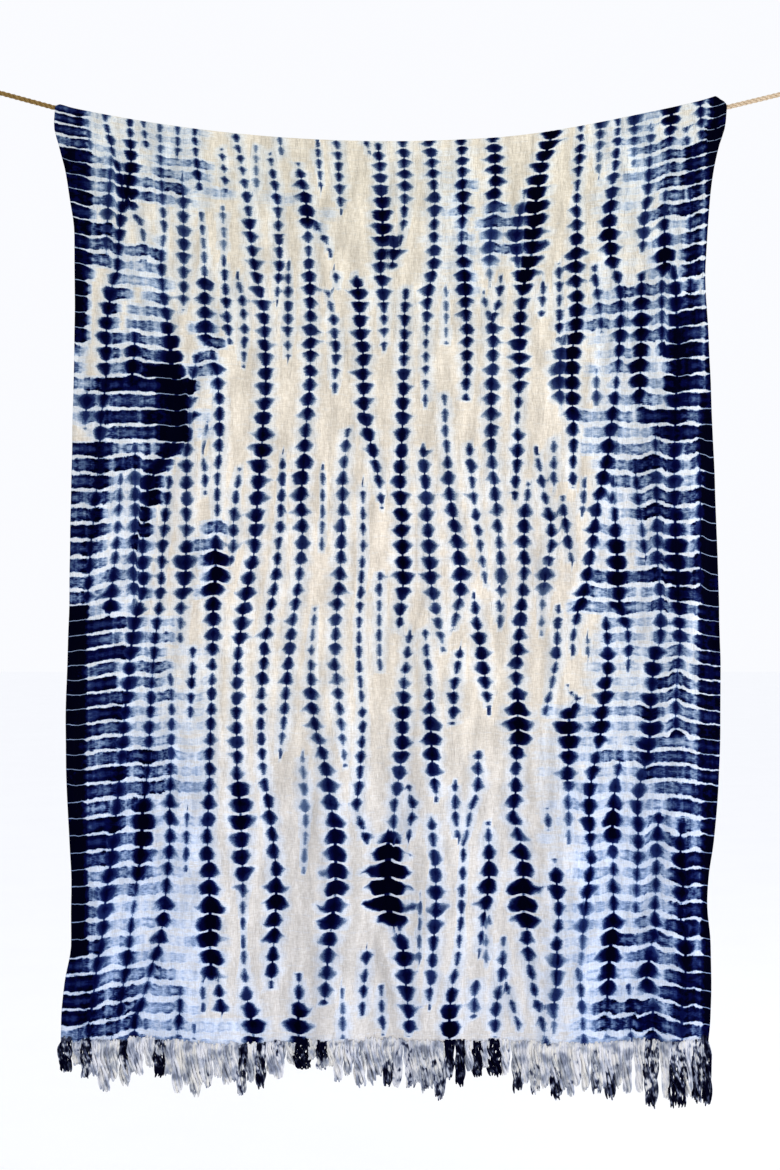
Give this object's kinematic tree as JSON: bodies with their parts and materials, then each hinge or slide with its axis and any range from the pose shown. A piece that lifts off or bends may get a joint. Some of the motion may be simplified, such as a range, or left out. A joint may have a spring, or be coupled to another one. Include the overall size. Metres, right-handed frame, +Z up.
{
  "type": "shibori dyed cloth on a rope line",
  "caption": "Fringed cotton throw, fold-dyed in indigo and cream beaded columns, folded over a sagging jute rope that ends in a knotted loop at each side.",
  "frame": {"origin": "on the rope's axis at the lowest point of its sag, at mid-span", "axes": "+Z up, +X to the right as seen from the front, -Y out of the cloth's front"},
  "size_m": [1.7455, 0.0435, 2.0321],
  "materials": {
    "dyed_cotton": "matte plain weave, indigo and cream",
    "cotton_yarn": "matte twisted yarn, cream flecked with indigo",
    "jute": "matte three-strand natural fibre"
  },
  "bodies": {
    "root": {"cloth": "dyed_cotton", "fringe": "cotton_yarn", "rope": "jute"}
  },
  "joints": []
}
